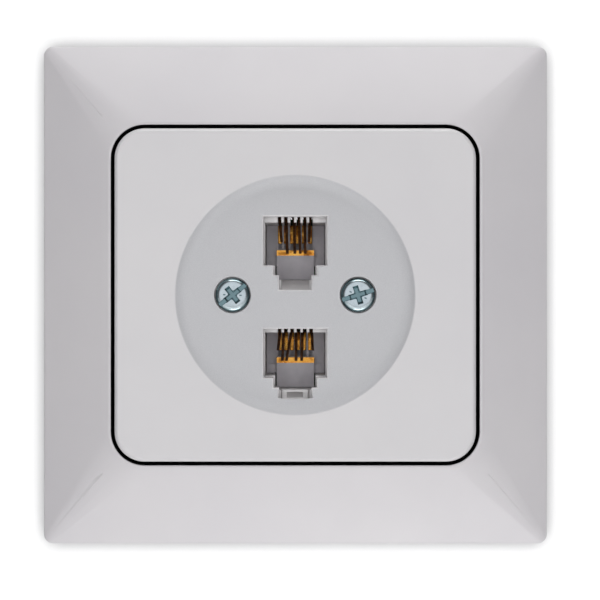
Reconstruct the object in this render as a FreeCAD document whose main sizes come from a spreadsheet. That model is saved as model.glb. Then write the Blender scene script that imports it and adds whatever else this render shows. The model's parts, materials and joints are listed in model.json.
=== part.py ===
import FreeCAD, Part
import math
import os
import re

import Sketcher

# Flush telephone outlet for a 60 mm wall box
# X points right, Z points up, and the wall is the plane Y = 0.
# The front looks along -Y, so a size that ends in _forward is measured from the wall towards the room,
# and a size that ends in _behind is measured from the wall into the box.

SIZES = {
    # Surround frame
    "frame_overlap": 5.1,
    "frame_corner": 1.5,
    "frame_wall": 1.8,
    "rim_forward": 3.6,
    "crest_forward": 10.5,
    "crest_land": 0.4,
    "rim_skin": 0.8,
    "crest_skin": 2.8,
    "inner_wall": 1.5,
    "ledge_reach": 2.4,
    "ledge_thick": 1.5,
    "frame_rib_thick": 1.2,
    "frame_rib_spread": 44.0,
    "reveal_gap": 0.6,
    # Centre plate
    "plate_wide": 57.7,
    "plate_tall": 53.2,
    "plate_corner": 4.8,
    "plate_forward": 11.0,
    "plate_wall": 2.0,
    "plate_edge_bevel": 0.45,
    "skirt_wall": 1.6,
    "dish_across": 38.8,
    "dish_depth": 1.3,
    "dish_round": 1.6,
    "dish_wall": 1.8,
    "dish_rim_wall": 1.2,
    "plate_boss_across": 6.8,
    "collar_wall": 1.1,
    "collar_gap": 0.2,
    # Stepped apertures for the two plugs
    "aperture_top": 12.6,
    "aperture_pitch": 18.0,
    "mouth_wide": 10.2,
    "mouth_tall": 7.85,
    "step_wide": 7.0,
    "step_tall": 1.57,
    "notch_wide": 5.2,
    "notch_tall": 2.36,
    "aperture_bevel": 0.25,
    # Cover screws
    "cover_screw_spacing": 20.1,
    "cover_screw_shank": 3.0,
    "cover_screw_long": 10.4,
    "cover_head_across": 5.5,
    "cover_head_tall": 1.7,
    "cover_sink_gap": 0.2,
    "cover_sink_deep": 1.6,
    "cover_slot_wide": 0.8,
    "cover_slot_deep": 0.6,
    "cover_cross_long": 3.2,
    "cover_cross_deep": 1.1,
    "left_screw_turn": -37.8,
    "right_screw_turn": -17.5,
    "cover_screw_play": 0.4,
    "thread_play": 0.06,
    # Modular jacks
    "jack_top": 11.75,
    "jack_pitch": 17.78,
    "jack_forward": 6.4,
    "jack_wide": 12.0,
    "jack_roof": 2.6,
    "jack_floor": 0.9,
    "cavity_wide": 9.8,
    "cavity_tall": 7.0,
    "channel_wide": 6.6,
    "channel_tall": 2.3,
    "latch_wide": 4.6,
    "latch_tall": 1.7,
    "latch_long": 5.0,
    "jack_end_gap": 0.97,
    "fit_play": 0.1,
    # Contact wires
    "contact_pitch": 1.02,
    "contact_wide": 0.46,
    "contact_thick": 0.3,
    "contact_groove_wide": 0.62,
    "contact_groove_tall": 1.9,
    "contact_run_up": 1.7,
    "contact_set_back": 0.5,
    "contact_reach": 7.1,
    "contact_drop": 4.9,
    "contact_outer_reach": 4.5,
    "contact_tail": 1.1,
    # Inner carrier of each jack and the gold bar on it
    "carrier_behind": 3.5,
    "carrier_ledge_drop": 5.45,
    "carrier_ledge_reach": 0.8,
    "carrier_step_wide": 6.2,
    "carrier_step_drop": 5.2,
    "carrier_step_behind": 1.6,
    "carrier_comb_wide": 0.62,
    "carrier_comb_deep": 1.5,
    "carrier_comb_drop": 4.1,
    "bar_tall": 0.9,
    # Steel mounting strap
    "strap_wide": 72.0,
    "strap_thick": 1.0,
    "strap_cut": 7.0,
    "strap_notch": 1.2,
    "box_screw_spacing": 60.0,
    "box_slot_edge": 5.5,
    "box_slot_wide": 4.0,
    "box_slot_long": 7.0,
    "window_play": 0.4,
    # Housing behind the strap
    "insert_forward": 6.2,
    "shell_cut": 1.5,
    "insert_wall": 1.6,
    "insert_face": 2.0,
    "flange_side": 4.5,
    "flange_top": 3.0,
    "flange_cut": 6.3,
    "flange_thick": 2.0,
    "shell_step": 1.5,
    "shell_behind": 13.0,
    "insert_boss_across": 7.0,
    "insert_boss_behind": 1.5,
    "insert_boss_gap": 0.35,
    "post_across": 4.4,
    "post_inset": 1.0,
    "hook_out": 1.3,
    "hook_thick": 1.2,
    "hook_wide": 4.0,
    "hook_spread": 35.0,
    "hook_catch": 0.6,
    "hook_nose": 1.3,
    # Circuit board and its screws
    "board_behind": 9.6,
    "board_thick": 1.6,
    "board_play": 0.4,
    "pin_hole": 0.8,
    "board_screw_shank": 1.9,
    "board_screw_long": 7.0,
    "board_head_across": 3.6,
    "board_head_tall": 1.4,
    # Terminal blocks and their forked blades
    "terminal_edge": 0.2,
    "terminal_deep": 8.0,
    "terminal_tall": 21.6,
    "terminal_rise": 9.4,
    "terminal_pitch": 3.4,
    "wire_gap": 1.0,
    "wire_gap_mouth": 2.0,
    "wire_gap_deep": 6.0,
    "lead_in": 0.8,
    "blade_thick": 0.45,
    "blade_wide": 2.3,
    "blade_seat": 1.0,
    "blade_short": 0.6,
    "blade_fork": 0.35,
    "blade_fork_mouth": 1.0,
    "blade_fork_deep": 4.6,
    # Spreading claws and their screws
    "pivot_gap": 2.2,
    "pivot_behind": 5.0,
    "pivot_across": 2.0,
    "pivot_play": 0.1,
    "lug_wide": 4.8,
    "lug_reach": 1.6,
    "pin_long": 7.8,
    "claw_thick": 0.8,
    "claw_wide": 10.0,
    "claw_web_out": 1.0,
    "claw_web_start": 2.5,
    "claw_foot_behind": 12.2,
    "claw_foot_reach": 10.3,
    "claw_foot_thick": 1.0,
    "claw_ear_thick": 1.0,
    "claw_ear_reach": 1.9,
    "claw_ear_gap": 0.2,
    "claw_ear_long": 6.0,
    "claw_tooth": 1.3,
    "claw_screw_reach": 6.7,
    "claw_screw_shank": 3.5,
    "claw_screw_long": 21.0,
    "claw_head_across": 6.0,
    "claw_head_tall": 2.2,
    "claw_slot_wide": 1.0,
    "claw_slot_deep": 1.0,
    "claw_slot_inner": 1.6,
    "claw_screw_play": 0.6,
}

# Sizes that follow from the ones above
DERIVED = {
    "opening_wide": "plate_wide + 2 * reveal_gap",
    "opening_tall": "plate_tall + 2 * reveal_gap",
    "opening_corner": "plate_corner + reveal_gap",
    "crest_wide": "opening_wide + 2 * crest_land",
    "crest_tall": "opening_tall + 2 * crest_land",
    "crest_corner": "opening_corner + crest_land",
    "shaft_wide": "opening_wide + 2 * inner_wall",
    "shaft_tall": "opening_tall + 2 * inner_wall",
    "strap_tall": "box_screw_spacing + 2 * box_slot_edge",
    "frame_wide": "strap_wide + 2 * frame_overlap",
    "frame_tall": "strap_tall + 2 * frame_overlap",
    "dish_floor": "plate_forward - dish_depth",
    "seat_forward": "dish_floor - dish_wall",
    "dish_sweep": "sqrt(dish_round ^ 2 - (dish_round - dish_depth) ^ 2)",
    "dish_turn": "asin(dish_sweep / dish_round)",
    "collar_forward": "jack_forward + collar_gap",
    "aperture_tall": "mouth_tall + step_tall + notch_tall",
    "jack_tall": "jack_roof + cavity_tall + channel_tall + latch_tall + jack_floor",
    "jack_low": "jack_pitch + jack_tall - jack_roof - jack_top",
    "insert_tall": "2 * (jack_low + jack_end_gap + insert_wall)",
    "insert_wide": "cover_screw_spacing + insert_boss_across + 2 * (insert_boss_gap + insert_wall)",
    "shell_wide": "insert_wide + 2 * shell_step",
    "shell_tall": "insert_tall + 2 * shell_step",
    "flange_wide": "shell_wide + 2 * flange_side",
    "flange_tall": "shell_tall + 2 * flange_top",
    "hook_root": "shell_wide / 2 + hook_out",
    "post_out": "insert_wide / 2 - insert_wall - post_inset",
    "post_up": "insert_tall / 2 - insert_wall - post_inset",
    "board_wide": "shell_wide - 2 * insert_wall - board_play",
    "board_tall": "shell_tall - 2 * insert_wall - board_play",
    "board_back": "board_behind + board_thick",
    "contact_behind": "contact_set_back - jack_forward",
    "contact_slope": "contact_drop / contact_reach",
    "contact_upright": "contact_thick * sqrt(1 + contact_slope ^ 2)",
    "terminal_outside": "board_wide / 2 - terminal_edge",
    "terminal_inside": "terminal_outside - terminal_deep",
    "terminal_back": "board_back + terminal_rise",
    "blade_out": "terminal_outside - terminal_deep / 2",
    "blade_floor": "board_back + blade_seat",
    "blade_back": "terminal_back - blade_short",
    "pivot_out": "shell_wide / 2 + pivot_gap",
    "claw_screw_out": "pivot_out + claw_screw_reach",
}

PLANES = {"front": "XZ_Plane", "side": "YZ_Plane", "top": "XY_Plane"}

# The surround's corners turn by 90 degrees in this many flats
CORNER_FLATS = 6

doc = FreeCAD.newDocument("TelephoneOutlet")
sheet = doc.addObject("Spreadsheet::Sheet", "Sizes")
pieces = []


def fill_sheet():
    """Write every size into the sheet under its own name."""
    for row, (name, number) in enumerate(SIZES.items(), start=1):
        sheet.set("A%d" % row, name)
        sheet.set("B%d" % row, str(number))
        sheet.setAlias("B%d" % row, name)
    doc.recompute()


def bound(rule):
    """Turn a rule in plain size names into an expression on the sheet."""

    def swap(found):
        word = found.group(0)
        if word in DERIVED:
            return "(" + bound(DERIVED[word]) + ")"
        return "Sizes." + word if word in SIZES else word

    return re.sub(r"[a-z][a-z_]*", swap, rule)


def value(rule):
    """The number that a rule gives now."""
    return float(sheet.evalExpression(bound(rule)))


def flat(u, v):
    """A point of a sketch from two rules."""
    return FreeCAD.Vector(value(u), value(v), 0)


# Sketch helpers


def piece(label):
    """A new sub-part that starts as an empty body."""
    body = doc.addObject("PartDesign::Body", label)
    body.Label = label
    pieces.append(body)
    return body


def sketch(body, plane, offset="0"):
    """An empty sketch on the body's own front (x, z), side (y, z) or top (x, y) plane."""
    drawn = body.newObject("Sketcher::SketchObject", body.Label + "_sketch")
    support = [part for part in body.Origin.OriginFeatures if part.Role == PLANES[plane]][0]
    drawn.AttachmentSupport = (support, [""])
    drawn.MapMode = "FlatFace"
    drawn.setExpression("AttachmentOffset.Base.z", bound(offset))
    return drawn


def fix(drawn, kind, *where, rule):
    """One dimension of a sketch, bound to its rule."""
    number = drawn.addConstraint(Sketcher.Constraint(kind, *where, value(rule)))
    drawn.setExpression("Constraints[%d]" % number, bound(rule))


def bow(start, end, radius):
    """An arc from start to end that bulges to the right of the way, or to the left for a negative radius."""
    way = end - start
    right = FreeCAD.Vector(way.y, -way.x, 0).normalize()
    reach = abs(radius)
    sink = reach - math.sqrt(max(reach ** 2 - (way.Length / 2) ** 2, 0))
    return Part.Arc(start, (start + end) / 2 + right * math.copysign(sink, radius), end)


def stretch(start, end, rules):
    """The line or the arc that leads from one point of an outline to the next."""
    if len(rules) == 2:
        return Part.LineSegment(start, end)
    if rules[2] == "half":
        return bow(start, end, (end - start).Length / 2)
    return bow(start, end, value(rules[2]))


def hold_arc(drawn, number, start, end, rules):
    """Fix an arc whose ends are fixed: a half circle by its centre, any other by its radius."""
    level = abs(end.x - start.x) > abs(end.y - start.y)
    if rules[2] != "half":
        fix(drawn, "Radius", number, rule="abs(%s)" % rules[2])
    elif level:
        fix(drawn, "DistanceY", -1, 1, number, 3, rule=rules[1])
    else:
        fix(drawn, "DistanceX", -1, 1, number, 3, rule=rules[0])


def outline(drawn, points):
    """A closed outline through points of two rules; a third rule makes the next stretch an arc."""
    first = drawn.GeometryCount
    count = len(points)
    spots = [flat(point[0], point[1]) for point in points]
    ends = []
    for step, point in enumerate(points):
        drawn.addGeometry(stretch(spots[step], spots[(step + 1) % count], point))
        forwards = drawn.getPoint(first + step, 1).isEqual(spots[step], 1e-6)
        ends.append((1, 2) if forwards else (2, 1))
    for step in range(count):
        after = (step + 1) % count
        joined = ("Coincident", first + step, ends[step][1], first + after, ends[after][0])
        drawn.addConstraint(Sketcher.Constraint(*joined))
    for step, point in enumerate(points):
        fix(drawn, "DistanceX", -1, 1, first + step, ends[step][0], rule=point[0])
        fix(drawn, "DistanceY", -1, 1, first + step, ends[step][0], rule=point[1])
        if len(point) == 3:
            hold_arc(drawn, first + step, spots[step], spots[(step + 1) % count], point)


def circle(drawn, u, v, across):
    """A circle given by its centre and its diameter."""
    drawn.addGeometry(Part.Circle(flat(u, v), FreeCAD.Vector(0, 0, 1), value(across) / 2))
    number = drawn.GeometryCount - 1
    fix(drawn, "DistanceX", -1, 1, number, 3, rule=u)
    fix(drawn, "DistanceY", -1, 1, number, 3, rule=v)
    fix(drawn, "Diameter", number, rule=across)


def box(drawn, left, right, low, high):
    """A plain rectangle between two places across and two places up."""
    outline(drawn, [(left, low), (right, low), (right, high), (left, high)])


def centred_box(drawn, wide, tall):
    """A plain rectangle about the sketch's origin."""
    box(drawn, "-(%s) / 2" % wide, "(%s) / 2" % wide, "-(%s) / 2" % tall, "(%s) / 2" % tall)


def square(drawn, u, v, side):
    """A small square about a place."""
    half = "(%s) / 2" % side
    box(drawn, "%s - %s" % (u, half), "%s + %s" % (u, half), "%s - %s" % (v, half), "%s + %s" % (v, half))


def rounded_box(drawn, wide, tall, corner):
    """A rectangle about the sketch's origin with four equal round corners."""
    across, up, turn = "(%s) / 2" % wide, "(%s) / 2" % tall, "(%s)" % corner
    near_across, near_up = "(%s - %s)" % (across, turn), "(%s - %s)" % (up, turn)
    outline(
        drawn,
        [
            ("-" + near_across, "-" + up),
            (near_across, "-" + up, turn),
            (across, "-" + near_up),
            (across, near_up, turn),
            (near_across, up),
            ("-" + near_across, up, turn),
            ("-" + across, near_up),
            ("-" + across, "-" + near_up, turn),
        ],
    )


def cut_box(drawn, wide, tall, cut):
    """A rectangle about the sketch's origin with its four corners cut off at 45 degrees."""
    across, up = "(%s) / 2" % wide, "(%s) / 2" % tall
    near_across, near_up = "(%s - %s)" % (across, cut), "(%s - %s)" % (up, cut)
    outline(
        drawn,
        [
            ("-" + near_across, "-" + up),
            (near_across, "-" + up),
            (across, "-" + near_up),
            (across, near_up),
            (near_across, up),
            ("-" + near_across, up),
            ("-" + across, near_up),
            ("-" + across, "-" + near_up),
        ],
    )


def stepped_mouth(drawn, top, widths, depths):
    """The outline of a plug's mouth: three steps, each narrower than the one above it."""
    sides = ["(%s) / 2" % wide for wide in widths]
    floors = [" - ".join([top] + depths[: count + 1]) for count in range(len(depths))]
    right = [(sides[0], top)]
    for count, floor in enumerate(floors):
        right.append((sides[count], floor))
        if count + 1 < len(sides):
            right.append((sides[count + 1], floor))
    left = [("-" + u, v) for u, v in reversed(right)]
    outline(drawn, right + left)


# Feature helpers


def feature(body, kind, drawn):
    """A new feature of a body that works from a sketch."""
    made = body.newObject("PartDesign::" + kind, body.Label + "_" + kind.lower())
    made.Profile = drawn
    return made


def pad(body, drawn, length, backward=False):
    """Add material in front of a sketch, or behind it."""
    made = feature(body, "Pad", drawn)
    made.setExpression("Length", bound(length))
    made.Reversed = backward
    doc.recompute()


def pocket(body, drawn, length=None, forward=False):
    """Cut behind a sketch, or in front of it, right through when no length is given."""
    made = feature(body, "Pocket", drawn)
    made.Reversed = forward
    if length is None:
        made.Type = "ThroughAll"
    else:
        made.setExpression("Length", bound(length))
    doc.recompute()


def turn(body, drawn, kind="Revolution"):
    """Turn a profile of the top plane about the body's own Y axis."""
    made = feature(body, kind, drawn)
    axis = [part for part in body.Origin.OriginFeatures if part.Role == "Y_Axis"][0]
    made.ReferenceAxis = (axis, [""])
    made.Angle = 360
    doc.recompute()


def loft(body, low, high, kind="AdditiveLoft"):
    """Join two sketches with straight sides."""
    made = feature(body, kind, low)
    made.Sections = [high]
    made.Ruled = True
    doc.recompute()


def sloped_block(body, kind, front, back):
    """Add or cut a block with four sloped sides; each end is given as (wide, tall, forward)."""
    made = body.newObject("PartDesign::" + kind, body.Label + "_" + kind.lower())
    for mark, (wide, tall, forward), level in (("", front, "Ymin"), ("2", back, "Ymax")):
        for axis, size in (("X", wide), ("Z", tall)):
            made.setExpression("%s%smin" % (axis, mark), bound("-(%s) / 2" % size))
            made.setExpression("%s%smax" % (axis, mark), bound("(%s) / 2" % size))
        made.setExpression(level, bound("-(%s)" % forward))
    doc.recompute()


def bevel(body, rule, test):
    """Bevel the edges of a body that pass a test."""
    base = body.Tip
    names = ["Edge%d" % (count + 1) for count, edge in enumerate(base.Shape.Edges) if test(edge)]
    made = body.newObject("PartDesign::Chamfer", body.Label + "_chamfer")
    made.Base = (base, names)
    made.setExpression("Size", bound(rule))
    doc.recompute()


def all_at(edge, place, rule):
    """Whether each end of an edge, and its middle, lies at a place along X, Y or Z."""
    middle = edge.valueAt((edge.FirstParameter + edge.LastParameter) / 2)
    spots = [vertex.Point for vertex in edge.Vertexes] + [middle]
    return all(abs(getattr(spot, place) - value(rule)) < 1e-4 for spot in spots)


def place(body, across="0", behind="0", up="0"):
    """Bind where a body stands."""
    body.setExpression("Placement.Base.x", bound(across))
    body.setExpression("Placement.Base.y", bound(behind))
    body.setExpression("Placement.Base.z", bound(up))
    doc.recompute()


def turn_about_y(body, angle):
    """Turn a body about the Y axis by an angle in degrees."""
    body.Placement = FreeCAD.Placement(FreeCAD.Vector(), FreeCAD.Rotation(FreeCAD.Vector(0, 1, 0), angle))


# Surround frame


def frame_rib(body, plane, side, along):
    """One rib behind a slope, from the inner wall to the outer one."""
    span = "opening_wide" if plane == "top" else "opening_tall"
    outer = "frame_wide" if plane == "top" else "frame_tall"
    near = "%s * (%s / 2 + inner_wall / 2)" % (side, span)
    far = "%s * (%s / 2 - frame_wall / 2)" % (side, outer)
    foot = "-(strap_thick + collar_gap)"
    low = "-(rim_forward - rim_skin / 2)"
    high = "-(crest_forward - crest_skin / 2 - inner_wall / 2)"
    corners = [(near, foot), (far, foot), (far, low), (near, high)]
    if plane == "side":
        corners = [(behind, across) for across, behind in corners]
    drawn = sketch(body, plane, "%s * frame_rib_spread / 2 - frame_rib_thick / 2" % along)
    outline(drawn, corners)
    pad(body, drawn, "frame_rib_thick")


def corner_flats(across, up, wide, tall, corner):
    """The points of a round corner in equal flats, from its side to its top or foot."""
    points = []
    for step in range(CORNER_FLATS + 1):
        angle = 90 / CORNER_FLATS * step
        u = "%d * (%s / 2 - %s * (1 - cos(%g)))" % (across, wide, corner, angle)
        v = "%d * (%s / 2 - %s * (1 - sin(%g)))" % (up, tall, corner, angle)
        points.append((u, v))
    return points


def flatted_box(drawn, wide, tall, corner):
    """A rectangle about the sketch's origin whose four round corners are made of flats."""
    points = []
    for across, up in ((1, 1), (-1, 1), (-1, -1), (1, -1)):
        flats = corner_flats(across, up, wide, tall, corner)
        points += flats if across == up else reversed(flats)
    outline(drawn, points)


def slope_corner(body, across, up):
    """Round one corner where two slopes meet: tight at the rim and wide at the crest."""
    ends = []
    for level, wide, tall, corner in (
        ("rim_forward", "frame_wide", "frame_tall", "frame_corner"),
        ("crest_forward", "crest_wide", "crest_tall", "crest_corner"),
    ):
        drawn = sketch(body, "front", level)
        beyond = ("%d * (%s / 2 + %s)" % (across, wide, corner), "%d * (%s / 2 + %s)" % (up, tall, corner))
        outline(drawn, corner_flats(across, up, wide, tall, corner) + [beyond])
        ends.append(drawn)
    loft(body, *ends, "SubtractiveLoft")


def surround_frame():
    """Sloped surround: a thin shell with an inner wall round the opening and a ledge for the plate."""
    body = piece("surround_frame")
    foot = sketch(body, "front")
    flatted_box(foot, "frame_wide", "frame_tall", "frame_corner")
    pad(body, foot, "rim_forward")
    crest = ("crest_wide", "crest_tall", "crest_forward")
    sloped_block(body, "AdditiveWedge", crest, ("frame_wide", "frame_tall", "rim_forward"))
    for across, up in ((-1, -1), (-1, 1), (1, -1), (1, 1)):
        slope_corner(body, across, up)
    inside = ("frame_wide - 2 * frame_wall", "frame_tall - 2 * frame_wall")
    back = sketch(body, "front")
    centred_box(back, *inside)
    pocket(body, back, "rim_forward - rim_skin", forward=True)
    deepest = ("shaft_wide", "shaft_tall", "crest_forward - crest_skin")
    sloped_block(body, "SubtractiveWedge", deepest, (*inside, "rim_forward - rim_skin"))
    wall = sketch(body, "front", "strap_thick")
    centred_box(wall, "shaft_wide", "shaft_tall")
    pad(body, wall, "crest_forward - crest_skin / 2 - strap_thick")
    front = sketch(body, "front", "crest_forward")
    rounded_box(front, "opening_wide", "opening_tall", "opening_corner")
    pocket(body, front, "crest_forward - seat_forward")
    through = sketch(body, "front", "crest_forward")
    inner = ("opening_wide - 2 * ledge_reach", "opening_tall - 2 * ledge_reach")
    cut_box(through, *inner, "opening_corner - ledge_reach")
    pocket(body, through)
    behind = sketch(body, "front")
    cut_box(behind, "opening_wide", "opening_tall", "opening_corner - inner_wall")
    pocket(body, behind, "seat_forward - ledge_thick", forward=True)
    for plane in ("top", "side"):
        for side in (-1, 1):
            for along in (-1, 1):
                frame_rib(body, plane, side, along)


# Centre plate


def centre_plate():
    """Plate with a round dish, two stepped apertures with collars, and bosses for the sunk cover screws."""
    body = piece("centre_plate")
    blank = sketch(body, "front", "seat_forward")
    rounded_box(blank, "plate_wide", "plate_tall", "plate_corner")
    pad(body, blank, "plate_forward - seat_forward")
    bevel(body, "plate_edge_bevel", lambda edge: all_at(edge, "y", "-plate_forward"))
    dish = sketch(body, "top")
    wall = []
    for step in range(3):
        angle = "(%d * dish_turn / 2)" % step
        out = "dish_across / 2 - dish_sweep + dish_round * sin(%s)" % angle
        wall.append((out, "-dish_floor - dish_round * (1 - cos(%s))" % angle))
    above = "-plate_forward - dish_depth"
    outline(dish, [("0", "-dish_floor")] + wall + [("dish_across / 2", above), ("0", above)])
    turn(body, dish, "Groove")
    trench = sketch(body, "front", "seat_forward")
    cut_box(trench, "plate_wide - 2 * skirt_wall", "plate_tall - 2 * skirt_wall", "plate_corner - skirt_wall")
    dish_wide = "dish_across + 2 * dish_rim_wall"
    cut_box(trench, dish_wide, dish_wide, "(%s) * (1 - sqrt(2) / 2)" % dish_wide)
    pocket(body, trench, "plate_forward - plate_wall - seat_forward", forward=True)
    bosses = sketch(body, "front", "seat_forward")
    for side in (-1, 1):
        square(bosses, "%d * cover_screw_spacing / 2" % side, "0", "plate_boss_across")
    pad(body, bosses, "seat_forward - insert_forward", backward=True)
    collars = sketch(body, "front", "seat_forward")
    for drop in ("0", "aperture_pitch"):
        out = "(mouth_wide / 2 + collar_wall)"
        top = "aperture_top - %s" % drop
        box(collars, "-" + out, out, top + " - aperture_tall - collar_wall", top + " + collar_wall")
    pad(body, collars, "seat_forward - collar_forward", backward=True)
    apertures = sketch(body, "front", "plate_forward")
    for drop in ("0", "aperture_pitch"):
        widths = ["mouth_wide", "step_wide", "notch_wide"]
        stepped_mouth(apertures, "aperture_top - " + drop, widths, ["mouth_tall", "step_tall", "notch_tall"])
    pocket(body, apertures)
    floor = value("dish_across") / 2 - value("dish_sweep")
    bevel(
        body,
        "aperture_bevel",
        lambda edge: all_at(edge, "y", "-dish_floor") and edge.BoundBox.DiagonalLength < floor,
    )
    holes = sketch(body, "front", "plate_forward")
    for side in (-1, 1):
        circle(holes, "%d * cover_screw_spacing / 2" % side, "0", "cover_screw_shank + cover_screw_play")
    pocket(body, holes)
    sinks = sketch(body, "front", "dish_floor")
    for side in (-1, 1):
        circle(sinks, "%d * cover_screw_spacing / 2" % side, "0", "cover_head_across + 2 * cover_sink_gap")
    pocket(body, sinks, "cover_sink_deep")


# Screws that are turned from one profile


def turned_screw(label, shank, long, head, tall):
    """A screw along Y, with its head's seat at the origin."""
    body = piece(label)
    profile = sketch(body, "top")
    outline(
        profile,
        [
            ("0", long),
            (shank + " / 2", long),
            (shank + " / 2", "0"),
            (head + " / 2", "0"),
            (head + " / 2", "-" + tall),
            ("0", "-" + tall),
        ],
    )
    turn(body, profile)
    return body


def recess(body, face, long, wide, deep, upright=False):
    """A straight slot cut into a screw's head."""
    drawn = sketch(body, "front", face)
    if upright:
        centred_box(drawn, wide, long)
    else:
        centred_box(drawn, long, wide)
    pocket(body, drawn, deep)


def cover_screw(side, name):
    """Screw sunk into the dish, with a slot and a cross in one recess."""
    body = turned_screw(
        "cover_screw_" + name,
        "cover_screw_shank",
        "cover_screw_long",
        "cover_head_across",
        "cover_head_tall",
    )
    recess(body, "cover_head_tall", "cover_head_across", "cover_slot_wide", "cover_slot_deep")
    recess(body, "cover_head_tall", "cover_cross_long", "cover_slot_wide", "cover_cross_deep")
    recess(body, "cover_head_tall", "cover_cross_long", "cover_slot_wide", "cover_cross_deep", upright=True)
    turn_about_y(body, value(name + "_screw_turn"))
    place(body, "%d * cover_screw_spacing / 2" % side, "cover_sink_deep - dish_floor")


# Modular jacks


def jack_housing(name, drop):
    """Moulded jack: stepped cavity, ramp for the plug's latch and six grooves in the roof."""
    body = piece("jack_housing_" + name)
    block = sketch(body, "front", "jack_forward")
    box(block, "-jack_wide / 2", "jack_wide / 2", "jack_top + jack_roof - jack_tall", "jack_top + jack_roof")
    pad(body, block, "jack_forward + board_behind", backward=True)
    cavity = sketch(body, "front", "jack_forward")
    outline(
        cavity,
        [
            ("-cavity_wide / 2", "jack_top"),
            ("-cavity_wide / 2", "jack_top - cavity_tall"),
            ("-channel_wide / 2", "jack_top - cavity_tall"),
            ("-channel_wide / 2", "jack_top - cavity_tall - channel_tall"),
            ("channel_wide / 2", "jack_top - cavity_tall - channel_tall"),
            ("channel_wide / 2", "jack_top - cavity_tall"),
            ("cavity_wide / 2", "jack_top - cavity_tall"),
            ("cavity_wide / 2", "jack_top"),
        ],
    )
    pocket(body, cavity)
    ramp = sketch(body, "side", "-latch_wide / 2")
    floor = "jack_top - cavity_tall - channel_tall"
    outline(
        ramp,
        [
            ("-jack_forward", floor),
            ("-jack_forward", floor + " - latch_tall"),
            ("latch_long - jack_forward", floor),
        ],
    )
    pocket(body, ramp, "latch_wide", forward=True)
    grooves = sketch(body, "front", "jack_forward")
    for count in range(6):
        middle = "%.1f * contact_pitch" % (count - 2.5)
        sides = [middle + " %s contact_groove_wide / 2" % sign for sign in "-+"]
        box(grooves, sides[0], sides[1], "jack_top", "jack_top + contact_groove_tall")
    pocket(body, grooves)
    place(body, up="-(%s)" % drop)


def contact_carrier(name, drop):
    """Inner block of a jack: comb for the wires, a ledge that stops the plug and a raised middle step."""
    body = piece("contact_carrier_" + name)
    wall = sketch(body, "front", "-carrier_behind")
    side = "(cavity_wide / 2 - fit_play)"
    box(wall, "-" + side, side, "jack_top - cavity_tall + fit_play", "jack_top - fit_play")
    pad(body, wall, "board_behind - carrier_behind", backward=True)
    ledge = sketch(body, "front", "-carrier_behind")
    box(ledge, "-" + side, side, "jack_top - cavity_tall + fit_play", "jack_top - carrier_ledge_drop")
    pad(body, ledge, "carrier_ledge_reach")
    step = sketch(body, "front", "-carrier_step_behind")
    low = "jack_top - cavity_tall - channel_tall + fit_play"
    box(step, "-carrier_step_wide / 2", "carrier_step_wide / 2", low, "jack_top - carrier_step_drop")
    pad(body, step, "board_behind - carrier_step_behind", backward=True)
    comb = sketch(body, "front", "-carrier_behind")
    for count in range(6):
        middle = "%.1f * contact_pitch" % (count - 2.5)
        sides = [middle + " %s carrier_comb_wide / 2" % sign for sign in "-+"]
        box(comb, sides[0], sides[1], "jack_top - carrier_comb_drop", "jack_top - fit_play")
    pocket(body, comb, "carrier_comb_deep")
    place(body, up="-(%s)" % drop)


def contact_wire(name, drop, count):
    """Gold-plated wire: it runs from the board over the roof, folds at the mouth and slopes back down."""
    body = piece("contact_wire_%s_%d" % (name, count))
    reach = "contact_outer_reach" if count in (1, 6) else "contact_reach"
    fall = "contact_slope * " + reach
    drawn = sketch(body, "side", "%.1f * contact_pitch - contact_wide / 2" % (count - 3.5))
    outline(
        drawn,
        [
            ("board_back + contact_tail", "jack_top + contact_run_up"),
            ("contact_behind", "jack_top + contact_run_up"),
            ("contact_behind", "jack_top"),
            ("contact_behind + " + reach, "jack_top - " + fall),
            ("contact_behind + " + reach, "jack_top + contact_upright - " + fall),
            (
                "contact_behind + contact_thick",
                "jack_top + contact_upright - contact_slope * contact_thick",
            ),
            ("contact_behind + contact_thick", "jack_top + contact_run_up - contact_thick"),
            ("board_back + contact_tail", "jack_top + contact_run_up - contact_thick"),
        ],
    )
    pad(body, drawn, "contact_wide")
    place(body, up="-(%s)" % drop)


def contact_bar(name, drop):
    """Gold bar that lies on the carrier's middle step, across the jack."""
    body = piece("contact_bar_" + name)
    drawn = sketch(body, "front", "-carrier_behind")
    low = "jack_top - carrier_step_drop"
    box(drawn, "-carrier_step_wide / 2", "carrier_step_wide / 2", low, low + " + bar_tall")
    pad(body, drawn, "carrier_behind - carrier_step_behind")
    place(body, up="-(%s)" % drop)


# Strap, housing and board


def slot(drawn, up, wide, long):
    """A slot with round ends that stands upright on the sketch's vertical axis."""
    half = "(%s) / 2" % wide
    straight = "(%s - %s) / 2" % (long, wide)
    outline(
        drawn,
        [
            (half, "%s - %s" % (up, straight)),
            (half, "%s + %s" % (up, straight), "half"),
            ("-" + half, "%s + %s" % (up, straight)),
            ("-" + half, "%s - %s" % (up, straight), "half"),
        ],
    )


def hook_sides(side, play):
    """Where a hook's stem starts and ends across, with a play round it."""
    return "%d * (hook_root - %s)" % (side, play), "%d * (hook_root + hook_thick + %s)" % (side, play)


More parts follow.
